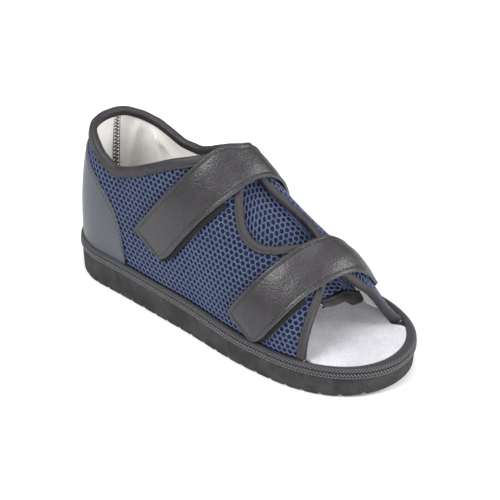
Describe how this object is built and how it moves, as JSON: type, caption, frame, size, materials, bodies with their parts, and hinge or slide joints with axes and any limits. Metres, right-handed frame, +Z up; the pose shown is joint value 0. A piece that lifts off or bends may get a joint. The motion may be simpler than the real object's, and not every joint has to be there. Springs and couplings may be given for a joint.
{
  "type": "post operative shoe",
  "caption": "Open-toed post operative shoe with a padded mesh upper, a stiff heel counter, wrap straps and a flat rocker-edged sole.",
  "frame": {"origin": "on the floor under the middle of the sole, on the centre line of its length", "axes": "+X towards the toe, +Y towards the inner side of the foot, +Z up from the floor"},
  "size_m": [0.285, 0.1081, 0.1392],
  "materials": {
    "sole_foam": "matt moulded foam",
    "ribbed_cloth": "ribbed twill",
    "rim_skin": "smooth satin",
    "insole_felt": "brushed felt",
    "mesh_cloth": "open knitted mesh over foam",
    "counter_skin": "smooth satin",
    "edge_tape": "folded and stitched",
    "loop_tape": "looped nap",
    "strap_skin": "pebbled with a soft gloss"
  },
  "bodies": {
    "root": {"outsole": "sole_foam", "platform": "ribbed_cloth", "rim": "rim_skin", "insole": "insole_felt", "upper": "mesh_cloth", "heel_counter": "counter_skin", "collar_binding": "edge_tape", "lateral_throat_binding": "edge_tape", "medial_throat_binding": "edge_tape", "tongue": "mesh_cloth", "tongue_binding": "edge_tape", "instep_loop_pad": "loop_tape", "forefoot_loop_pad": "loop_tape", "instep_strap": "strap_skin", "forefoot_strap": "strap_skin"}
  },
  "joints": []
}
